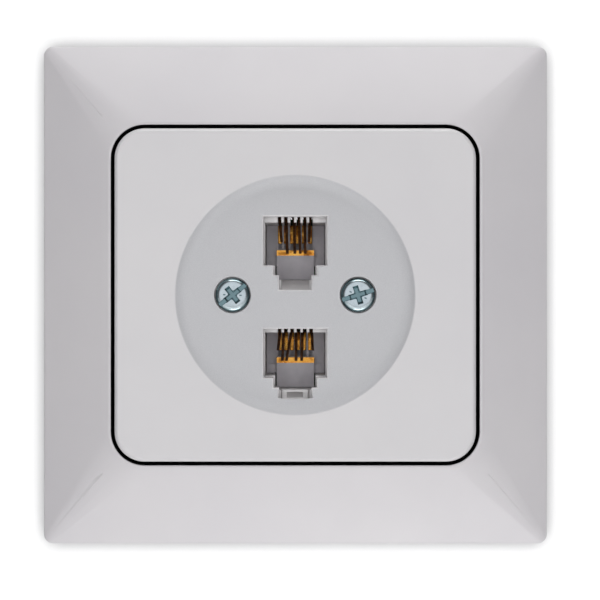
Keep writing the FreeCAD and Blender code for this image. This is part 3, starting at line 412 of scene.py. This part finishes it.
# %% Give the CAD nodes their finishes
FINISHES = {
    "surround_plastic": surround_plastic,
    "plate_plastic": plate_plastic,
    "jack_plastic": jack_plastic,
    "carrier_plastic": carrier_plastic,
    "housing_plastic": housing_plastic,
    "terminal_plastic": terminal_plastic,
    "board_laminate": board_laminate,
    "strap_steel": strap_steel,
    "claw_steel": claw_steel,
    "screw_zinc": screw_zinc,
    "claw_screw_zinc": claw_screw_zinc,
    "blade_tin": blade_tin,
    "contact_gold": contact_gold,
}
for row in frame["record"]["subparts"]:
    for material_slot in parts[row["node"]].material_slots:
        material_slot.material = FINISHES[row["material_slot"]]

# %% [markdown]
# ## The surround and the plate
# A moulded edge is never sharp, and the light that it catches is what shows an edge to the eye. The CAD
# meshes are loose triangles, so a bevel can't run along them. A copy of each is merged and its flat faces
# are joined, and then the real roundings are bevelled into the copy, which stands for the CAD node.

# %% Work on a copy of a CAD node
def new_piece(name, mesh, finish_used, body="root"):
    """An object at the origin with one finish, riding on a body."""
    made = bpy.data.objects.new(name, mesh)
    bpy.context.scene.collection.objects.link(made)
    made.data.materials.clear()
    made.data.materials.append(finish_used)
    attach(made, body)
    return made


def merged_copy(node):
    """A bmesh of a CAD node with its doubles merged and its flat faces joined."""
    shape = bmesh.new()
    shape.from_mesh(parts[node].data)
    bmesh.ops.remove_doubles(shape, verts=shape.verts, dist=0.002 * MM)
    bmesh.ops.dissolve_limit(shape, angle_limit=math.radians(0.4), verts=shape.verts, edges=shape.edges)
    return shape


def edges_at(shape, level_mm, least_turn=8, within=None):
    """The edges that lie level at that place along Y, in mm, and turn by more than some degrees."""
    found = []
    for edge in shape.edges:
        level = all(abs(vert.co.y - level_mm * MM) < 0.004 * MM for vert in edge.verts)
        if level and edge.is_manifold and edge.calc_face_angle(0) > math.radians(least_turn):
            if within is None or all(within(vert.co / MM) for vert in edge.verts):
                found.append(edge)
    return found


def round_edges(shape, edges, width_mm, segments=3):
    """Round those edges over that width."""
    bmesh.ops.bevel(
        shape,
        geom=edges,
        offset=width_mm * MM,
        segments=segments,
        profile=0.5,
        affect="EDGES",
        material=-1,
        clamp_overlap=True,
    )


def plain_mesh(shape, name):
    """The bmesh as a mesh; the bmesh is freed."""
    mesh = bpy.data.meshes.new(name)
    shape.to_mesh(mesh)
    shape.free()
    return mesh


def smooth_mesh(shape, name, sharp=40):
    """The bmesh as a mesh with smooth faces; edges that turn by more than sharp degrees stay sharp."""
    mesh = plain_mesh(shape, name)
    mesh.shade_smooth()
    mesh.set_sharp_from_angle(angle=math.radians(sharp))
    return mesh


def even_normals(piece):
    """Let the large flat faces set the normals, so that only the roundings are shaded as round."""
    weighted = piece.modifiers.new("even_normals", "WEIGHTED_NORMAL")
    weighted.keep_sharp = True
    weighted.weight = 90


# %% Round the surround's edges
RIM, CREST = -3.6, -10.5


def surround():
    """The surround with a soft outer rim and small roundings at its crest."""
    shape = merged_copy("surround_frame")
    round_edges(shape, edges_at(shape, RIM), 0.45, 4)
    round_edges(shape, edges_at(shape, CREST), 0.14, 2)
    piece = new_piece("surround_rounded", smooth_mesh(shape, "surround_rounded"), surround_plastic)
    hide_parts("surround_frame")
    return piece


print("surround faces:", len(surround().data.polygons))

# %% [markdown]
# The dish was turned in the mould tool, so its wall is one smooth hollow curve that ends in a soft lip. The
# source draws that curve with two chords. Here a ring fills those up, a profile is spun into a bowl, and a
# Boolean takes the bowl out of the copied plate.

# %% Turned shapes and cuts
def turned(profile, steps, ring=False):
    """A bmesh spun about the Z axis from (radius, height) in mm; a ring's last point joins its first."""
    shape = bmesh.new()
    points = [shape.verts.new((radius * MM, 0, height * MM)) for radius, height in profile]
    edges = [shape.edges.new(pair) for pair in zip(points, points[1:] + points[:1] * ring)]
    bmesh.ops.spin(
        shape,
        geom=points + edges,
        axis=(0, 0, 1),
        cent=(0, 0, 0),
        angle=math.tau,
        steps=steps,
        use_merge=True,
    )
    bmesh.ops.remove_doubles(shape, verts=shape.verts, dist=0.001 * MM)
    bmesh.ops.recalc_face_normals(shape, faces=shape.faces)
    return shape


TOWARDS_ROOM = Matrix.Rotation(math.radians(90), 4, "X")


def combined(target_shape, cutter_shape, name, operation="DIFFERENCE"):
    """Two bmeshes as one, or the first less the second, by a Boolean modifier that is then made final."""
    made = []
    for shape in (target_shape, cutter_shape):
        made.append(bpy.data.objects.new(name, plain_mesh(shape, name)))
        bpy.context.scene.collection.objects.link(made[-1])
    boolean = made[0].modifiers.new("boolean", "BOOLEAN")
    boolean.object = made[1]
    boolean.operation = operation
    boolean.solver = "EXACT"
    boolean.use_self = True
    result = bmesh.new()
    result.from_object(made[0], bpy.context.evaluated_depsgraph_get())
    for spare in made:
        bpy.data.objects.remove(spare)
    return result


# %% Hollow the dish and round the plate's edges
PLATE_FRONT, EDGE_STEP, OUTER_EDGES = -11.0, 0.45, 21
FLOOR_RADIUS, LIP_EDGE, LIP_RADIUS, DISH_DEPTH, BELOW_FRONT = 16.9, 19.3, 0.36, 1.302, 0.004
FILL_INNER, FILL_OUTER, FILL_DEPTH = 16.7, 19.9, 1.6


def dish_profile():
    """Half of the bowl's section: the floor, a hollow wall, and a small lip where the wall is steepest."""
    wide = LIP_EDGE - FLOOR_RADIUS
    steepest = 2 * math.atan2(DISH_DEPTH - BELOW_FRONT, wide)
    wall_radius = wide / math.sin(steepest) - LIP_RADIUS
    points = [(0, -DISH_DEPTH), (FLOOR_RADIUS - 0.4, -DISH_DEPTH)]
    for turn in (steepest * step / 12 for step in range(13)):
        out = FLOOR_RADIUS + wall_radius * math.sin(turn)
        points.append((out, wall_radius * (1 - math.cos(turn)) - DISH_DEPTH))
    for turn in (steepest * (1 - step / 5) for step in range(1, 6)):
        out = LIP_EDGE - LIP_RADIUS * math.sin(turn)
        points.append((out, -LIP_RADIUS * (1 - math.cos(turn)) - BELOW_FRONT))
    return points + [(LIP_EDGE + 0.4, 0.03), (LIP_EDGE + 0.4, 2), (0, 2)]


def at_plate_front(shape):
    """Turn a spun shape towards the room and move it to the plate's front."""
    bmesh.ops.transform(shape, verts=shape.verts, matrix=TOWARDS_ROOM)
    bmesh.ops.translate(shape, verts=shape.verts, vec=(0, PLATE_FRONT * MM, 0))
    return shape


def outside(spot):
    """Whether a place in mm lies at the plate's outer edges."""
    return abs(spot.x) > OUTER_EDGES or abs(spot.z) > OUTER_EDGES


def plate():
    """The centre plate with its smooth dish and its rounded edges."""
    foot = [(FILL_INNER, -FILL_DEPTH), (FILL_OUTER, -FILL_DEPTH)]
    ring = foot + [(FILL_OUTER, -BELOW_FRONT), (FILL_INNER, -BELOW_FRONT)]
    filling = at_plate_front(turned(ring, 128, True))
    shape = combined(merged_copy("centre_plate"), filling, "plate_filled", "UNION")
    shape = combined(shape, at_plate_front(turned(dish_profile(), 128)), "plate_hollowed")
    bmesh.ops.remove_doubles(shape, verts=shape.verts, dist=0.0005 * MM)
    bmesh.ops.dissolve_limit(shape, angle_limit=math.radians(0.4), verts=shape.verts, edges=shape.edges)
    outer = edges_at(shape, PLATE_FRONT, 20, outside)
    outer += edges_at(shape, PLATE_FRONT + EDGE_STEP, 20, outside)
    round_edges(shape, outer, 0.2, 3)
    piece = new_piece("plate_rounded", smooth_mesh(shape, "plate_rounded", 35), plate_plastic)
    even_normals(piece)
    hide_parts("centre_plate")
    return piece


print("plate faces:", len(plate().data.polygons))

# %% [markdown]
# ## The cover screws
# The two cover screws are M3 pan heads that sit in counterbores, with a slot and a cross recess in one, so
# that either driver turns them. In the source their heads are flat discs with straight recesses. Here a
# profile is spun into the rounded head, and a tapered cutter leaves the recess, as a punch does when the
# real head is formed.

# %% Head, shank and recess
def rounded_head(radius, tall, edge):
    """The profile of a pan head from its bearing face to its top; its edge is rounded by that radius."""
    turns = [math.radians(15 * step) for step in range(7)]
    corner = [(radius - edge + edge * math.cos(turn), tall - edge + edge * math.sin(turn)) for turn in turns]
    return [(0, 0), (radius, 0)] + corner + [(0, tall + 0.05)]


def tapered_bar(shape, long_top, long_foot, wide_top, wide_foot, deep, turn, off=0):
    """A bar that narrows downwards from z = 0, moved out by off and turned about the screw's axis."""
    made = bmesh.ops.create_cube(shape, size=1)["verts"]
    for vert in made:
        top = vert.co.z > 0
        vert.co.x = vert.co.x * (long_top if top else long_foot) * MM + off * MM
        vert.co.y *= (wide_top if top else wide_foot) * MM
        vert.co.z = 0.4 * MM if top else -deep * MM
    bmesh.ops.rotate(shape, verts=made, cent=(0, 0, 0), matrix=Matrix.Rotation(turn, 3, "Z"))
    return made


def recess_cutter():
    """A slot right across the head, a cross along and across it, and two small pits between its arms."""
    shape = bmesh.new()
    tapered_bar(shape, 8.0, 8.0, 0.95, 0.6, 0.42, 0)
    for turn in (0, 90):
        tapered_bar(shape, 3.3, 2.3, 1.05, 0.5, 1.1, math.radians(turn))
    tapered_bar(shape, 1.7, 0.9, 1.7, 0.9, 1.0, math.radians(45))
    for side in (-1, 1):
        tapered_bar(shape, 0.55, 0.2, 0.3, 0.12, 0.3, math.radians(-40), side * 1.3)
    return shape


# %% Put one shape into another
def add_shape(whole, part):
    """Put one bmesh into another and free it."""
    carrier = plain_mesh(part, "carrier")
    whole.from_mesh(carrier)
    bpy.data.meshes.remove(carrier)


# %% Make both cover screws
HEAD_TALL, HEAD_ROUNDING, SHANK, CORE, POINT = 1.7, 0.85, 1.5, 1.0, 0.5


def cover_screw(side, turn):
    """A pan head screw in the CAD node's place, with its recess turned by that angle seen from the room."""
    node = "cover_screw_" + side
    low, high = (Vector(corner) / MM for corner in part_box(node))
    head_radius = (high.x - low.x) / 2
    recess = recess_cutter()
    bmesh.ops.translate(recess, verts=recess.verts, vec=(0, 0, HEAD_TALL * MM))
    shape = combined(turned(rounded_head(head_radius, HEAD_TALL, HEAD_ROUNDING), 72), recess, node)
    foot = low.y + HEAD_TALL - high.y
    add_shape(shape, turned([(0, 0), (SHANK, 0), (SHANK, foot + POINT), (CORE, foot), (0, foot)], 32))
    bmesh.ops.rotate(shape, verts=shape.verts, cent=(0, 0, 0), matrix=Matrix.Rotation(turn, 3, "Z"))
    bmesh.ops.transform(shape, verts=shape.verts, matrix=TOWARDS_ROOM)
    seat = Vector(((low.x + high.x) / 2, low.y + HEAD_TALL, (low.z + high.z) / 2)) * MM
    bmesh.ops.translate(shape, verts=shape.verts, vec=seat)
    piece = new_piece(node + "_detailed", smooth_mesh(shape, node + "_detailed", 30), screw_zinc)
    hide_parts(node)
    print(node, "head radius", round(head_radius, 2), "mm, faces", len(piece.data.polygons))


cover_screw("left", math.radians(37.8))
cover_screw("right", math.radians(17.5))

# %% [markdown]
# The two board screws face backwards. Their plain heads get the same punched recess.

# %% Punch the board screws
def board_screws():
    """A copy of the board screws with a recess in each head."""
    shape = merged_copy("board_screws")
    back = max(vert.co.y for vert in shape.verts)
    centres = [face.calc_center_bounds() for face in shape.faces]
    tops = [centre.copy() for centre in centres if centre.y > back - 0.01 * MM]
    for place in tops:
        recess = recess_cutter()
        bmesh.ops.scale(recess, verts=recess.verts, vec=(0.7, 0.7, 0.7))
        bmesh.ops.transform(recess, verts=recess.verts, matrix=TOWARDS_ROOM.inverted())
        turn = Matrix.Rotation(place.z * 90, 3, "Y")
        bmesh.ops.rotate(recess, verts=recess.verts, cent=(0, 0, 0), matrix=turn)
        bmesh.ops.translate(recess, verts=recess.verts, vec=place)
        shape = combined(shape, recess, "board_screws_cut")
    piece = new_piece("board_screws_punched", smooth_mesh(shape, "board_screws_punched", 30), screw_zinc)
    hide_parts("board_screws")
    print("board screws:", len(tops), "heads, faces", len(piece.data.polygons))


board_screws()

# %% [markdown]
# ## The contacts
# Each jack has six springy contacts of drawn wire. They come over the roof, fold at the mouth and slope back
# down. Plugs and fingers have bent them a little to one side or the other, as the photo shows. Here each CAD
# wire is copied, its edges are rounded and its slope is sheared sideways. Behind them, six flat gold
# legs lie upright in the carrier's face.

# %% Bend the spring wires
JACK_TOP = {"upper": 11.75, "lower": -6.03}
FOLD_ABOVE = 0.3
SIDEWAYS = {
    "upper": ((0.0, 0.3), (0.05, 0.2), (0.35, 0.42), (0.1, 0.3), (0.0, 0.1), (-0.15, -0.32)),
    "lower": ((0.1, -0.32), (-0.3, -0.65), (-0.1, -1.0), (-0.4, -0.4), (-0.4, -0.5), (0.1, 0.32)),
}


def spring_wires(which):
    """The six wires of one jack, each bent sideways from its fold to its free end."""
    whole = bmesh.new()
    nodes = ["contact_wire_%s_%d" % (which, count) for count in range(1, 7)]
    fold = (JACK_TOP[which] + FOLD_ABOVE) * MM
    for node, (at_fold, at_end) in zip(nodes, SIDEWAYS[which]):
        wire = merged_copy(node)
        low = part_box(node)[0][2]
        for vert in wire.verts:
            fallen = fold - vert.co.z
            if fallen > 0:
                share = fallen / (fold - low)
                vert.co.x += (at_fold + (at_end - at_fold) * share) * MM
        round_edges(wire, wire.edges[:], 0.08, 2)
        add_shape(whole, wire)
    piece = new_piece("contact_springs_" + which, smooth_mesh(whole, "contact_springs_" + which), spring_gold_in_painted_shade)
    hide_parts(*nodes)
    return piece


LEG_WIDE, LEG_THICK, LEG_LONG, LEG_PITCH, LEG_ASIDE = 0.66, 0.3, 3.0, 1.0, -0.08
LEG_IN, LEG_DOWN = 3.42, 1.65


def flat_legs(which):
    """Six flat gold legs that lie upright in the carrier's face, a pitch of 1 mm apart."""
    shape = bmesh.new()
    for count in range(6):
        leg = bmesh.ops.create_cube(shape, size=1)["verts"]
        bmesh.ops.scale(shape, verts=leg, vec=(LEG_WIDE * MM, LEG_THICK * MM, LEG_LONG * MM))
        place = ((count - 2.5) * LEG_PITCH + LEG_ASIDE, LEG_IN, JACK_TOP[which] - LEG_DOWN)
        bmesh.ops.translate(shape, verts=leg, vec=[length * MM for length in place])
    round_edges(shape, shape.edges[:], 0.07, 2)
    piece = new_piece("contact_legs_" + which, smooth_mesh(shape, "contact_legs_" + which), contact_gold)
    return piece


for which in ("upper", "lower"):
    springs, legs = spring_wires(which), flat_legs(which)
    print(which, "wire faces:", len(springs.data.polygons), "leg faces:", len(legs.data.polygons))

# %% [markdown]
# The plug's latch snaps behind a thin moulded frame at the foot of the lower jack. It is a flat ring with
# rounded edges: a grid is inset, its middle is taken out, and the rest is made solid.

# %% Frame for the plug's latch
FRAME_WIDE, FRAME_TALL, FRAME_BAR, FRAME_THICK = 4.2, 1.7, 0.42, 0.5
FRAME_CENTRE = Vector((-0.05, -5.9, -16.15))


def latch_frame():
    """A ring 4.2 by 1.7 mm with a low window."""
    shape = bmesh.new()
    bmesh.ops.create_grid(shape, x_segments=1, y_segments=1, size=0.5)
    bmesh.ops.scale(shape, verts=shape.verts, vec=(FRAME_WIDE * MM, FRAME_TALL * MM, 1))
    bmesh.ops.inset_region(
        shape, faces=shape.faces, thickness=FRAME_BAR * MM, use_boundary=True, use_even_offset=True
    )
    inner = min(shape.faces, key=lambda face: face.calc_center_median().length)
    bmesh.ops.scale(shape, verts=inner.verts, vec=(0.78, 1, 1))
    bmesh.ops.delete(shape, geom=[inner], context="FACES")
    bmesh.ops.recalc_face_normals(shape, faces=shape.faces)
    bmesh.ops.solidify(shape, geom=shape.faces[:], thickness=FRAME_THICK * MM)
    round_edges(shape, [edge for edge in shape.edges if edge.calc_face_angle(0) > 0.5], 0.08, 2)
    bmesh.ops.recalc_face_normals(shape, faces=shape.faces)
    bmesh.ops.transform(shape, verts=shape.verts, matrix=TOWARDS_ROOM)
    bmesh.ops.translate(shape, verts=shape.verts, vec=FRAME_CENTRE * MM)
    piece = new_piece("latch_frame_lower", smooth_mesh(shape, "latch_frame_lower"), jack_plastic)
    return piece


print("latch frame faces:", len(latch_frame().data.polygons))

# %% [markdown]
# ## The stage
# The socket is shown on a pale panel, with an opening as a wall has, so its back can still be seen. A pale
# floor lies 0.3 m below it. Both shine a little towards the camera and in reflections, but light nothing,
# which makes the bare background white while the lamps' soft shadow round the surround stays. Close to the
# socket, ambient occlusion dims that shine, which paints a further soft shadow round the surround.

# %% Panel and floor
PANEL_HALF, OPENING_HALF, PANEL_BEHIND = 75, 38, 0.1
FLOOR_HALF, FLOOR_LEVEL = 1500, -300


def stage_paint(name, colour, glow, shade_mm=3.0):
    """A matt paint that looks lighter to the camera, and in reflections, but less so close to the socket,
    where ambient occlusion paints a soft shadow.
    """
    made = bpy.data.materials.new(name)
    made.use_nodes = True
    tree = made.node_tree
    tree.nodes.clear()
    rays = add_node(tree, "ShaderNodeLightPath").outputs
    seen = arithmetic(tree, "MAXIMUM", rays["Is Camera Ray"], rays["Is Glossy Ray"])
    seen = arithmetic(tree, "MAXIMUM", seen, rays["Is Transmission Ray"])
    place = object_place(tree)
    first, second = (linear(tone) for tone in colour)
    tint = blend_colours(tree, spread(tree, noise(tree, place, 60), 0, 1), first, second)
    paint = add_node(tree, "ShaderNodeBsdfDiffuse", {"Color": tint})
    # Painted shadow: ambient occlusion dims the shine near the socket
    near = add_node(tree, "ShaderNodeAmbientOcclusion", {"Distance": shade_mm * MM}, samples=16)
    openness = {"Value": near.outputs["AO"], "From Min": 0.5, "To Min": 0.25}
    painted_shadow_share = add_node(tree, "ShaderNodeMapRange", openness).outputs["Result"]
    strength = arithmetic(tree, "MULTIPLY", arithmetic(tree, "MULTIPLY", seen, glow), painted_shadow_share)
    light = add_node(tree, "ShaderNodeEmission", {"Strength": strength})
    both = add_node(tree, "ShaderNodeAddShader", {0: paint.outputs["BSDF"], 1: light.outputs["Emission"]})
    add_node(tree, "ShaderNodeOutputMaterial", {"Surface": both.outputs["Shader"]})
    return made


def stage_piece(name, mesh, paint):
    """An object of the stage, which isn't part of the socket."""
    made = bpy.data.objects.new(name, mesh)
    bpy.context.scene.collection.objects.link(made)
    made.data.materials.append(paint)
    return made


def panel_mesh():
    """A thin upright panel behind the surround, with an opening a little smaller than it."""
    shape = bmesh.new()
    bmesh.ops.create_grid(shape, x_segments=1, y_segments=1, size=PANEL_HALF * MM)
    border = (PANEL_HALF - OPENING_HALF) * MM
    bmesh.ops.inset_region(
        shape, faces=shape.faces, thickness=border, use_boundary=True, use_even_offset=True
    )
    inner = min(shape.faces, key=lambda face: face.calc_center_median().length)
    bmesh.ops.delete(shape, geom=[inner], context="FACES")
    bmesh.ops.transform(shape, verts=shape.verts, matrix=TOWARDS_ROOM)
    bmesh.ops.translate(shape, verts=shape.verts, vec=(0, PANEL_BEHIND * MM, 0))
    return plain_mesh(shape, "panel")


def floor_mesh():
    """A wide level floor, 0.3 m below the socket as in most rooms."""
    shape = bmesh.new()
    bmesh.ops.create_grid(shape, x_segments=1, y_segments=1, size=FLOOR_HALF * MM)
    bmesh.ops.translate(shape, verts=shape.verts, vec=(0, 0, FLOOR_LEVEL * MM))
    return plain_mesh(shape, "floor")


panel_paint = stage_paint("panel_paint", ("#c4c4c4", "#c0c0c0"), 0.62)
panel = stage_piece("panel", panel_mesh(), panel_paint)
floor = stage_piece("floor", floor_mesh(), stage_paint("floor_paint", ("#efefef", "#ebebeb"), 0.25))
print("panel faces:", len(panel.data.polygons), "floor faces:", len(floor.data.polygons))

# %% [markdown]
# ## Light
# Wide soft lamps light the socket. One stands above and a weaker one just over the floor below, so the top
# and bottom slopes are bright, the side slopes darker, and the dish's upper wall lies in shade. A lamp in
# front fills the cavities. It is polarised, as in product photography, so the screws don't mirror it. One
# behind shows the back in other views. Lamps that are large for their distance cast shadows with soft edges.

# %% Soft lamps and a grey world
WORLD_LEVEL = 0.21


def soft_lamp(name, place, size, watts, mirrored=True):
    """A square lamp at that place, aimed at the socket; a polarised one isn't mirrored in metal."""
    data = bpy.data.lights.new(name, "AREA")
    data.shape = "SQUARE"
    data.size = size
    data.energy = watts
    lamp = bpy.data.objects.new(name, data)
    lamp.location = place
    lamp.visible_glossy = mirrored
    lamp.rotation_euler = (Vector((0, 0, 0)) - Vector(place)).to_track_quat("-Z", "Y").to_euler()
    bpy.context.scene.collection.objects.link(lamp)


soft_lamp("lamp_above", (0.03, -0.1, 0.5), 0.4, 1.72)
soft_lamp("lamp_below", (0.03, -0.095, -0.28), 0.2, 0.29)
soft_lamp("lamp_front", (0, -0.7, 0), 0.6, 2.4, mirrored=False)
soft_lamp("lamp_behind", (-0.35, 0.6, 0.4), 0.5, 3.4)


def studio_world():
    """Even grey light; metal mirrors a pale cloth straight in front and behind, and dark room beside it."""
    world = bpy.data.worlds.new("studio_world")
    world.use_nodes = True
    tree = world.node_tree
    tree.nodes.clear()
    towards = add_node(tree, "ShaderNodeTexCoord").outputs["Generated"]
    axes = axes_of(tree, towards)
    rays = add_node(tree, "ShaderNodeLightPath").outputs
    straight = arithmetic(tree, "ABSOLUTE", axes["Y"])
    cloth = {"Value": straight, "From Min": 0.7, "From Max": 0.96, "To Min": 0.14, "To Max": 0.85}
    smooth = add_node(tree, "ShaderNodeMapRange", cloth, interpolation_type="SMOOTHSTEP")
    mirrored = smooth.outputs["Result"]
    levels = {"Value": rays["Is Glossy Ray"], "To Min": WORLD_LEVEL, "To Max": mirrored}
    level = add_node(tree, "ShaderNodeMapRange", levels).outputs["Result"]
    levels = {"Value": rays["Is Camera Ray"], "To Min": level, "To Max": 1.0}
    level = add_node(tree, "ShaderNodeMapRange", levels).outputs["Result"]
    tint = linear("#fafbff")
    background = add_node(tree, "ShaderNodeBackground", {"Color": tint, "Strength": level})
    add_node(tree, "ShaderNodeOutputWorld", {"Surface": background.outputs["Background"]})
    return world


bpy.context.scene.world = studio_world()
print("lamps:", [lamp.name for lamp in bpy.data.lights])
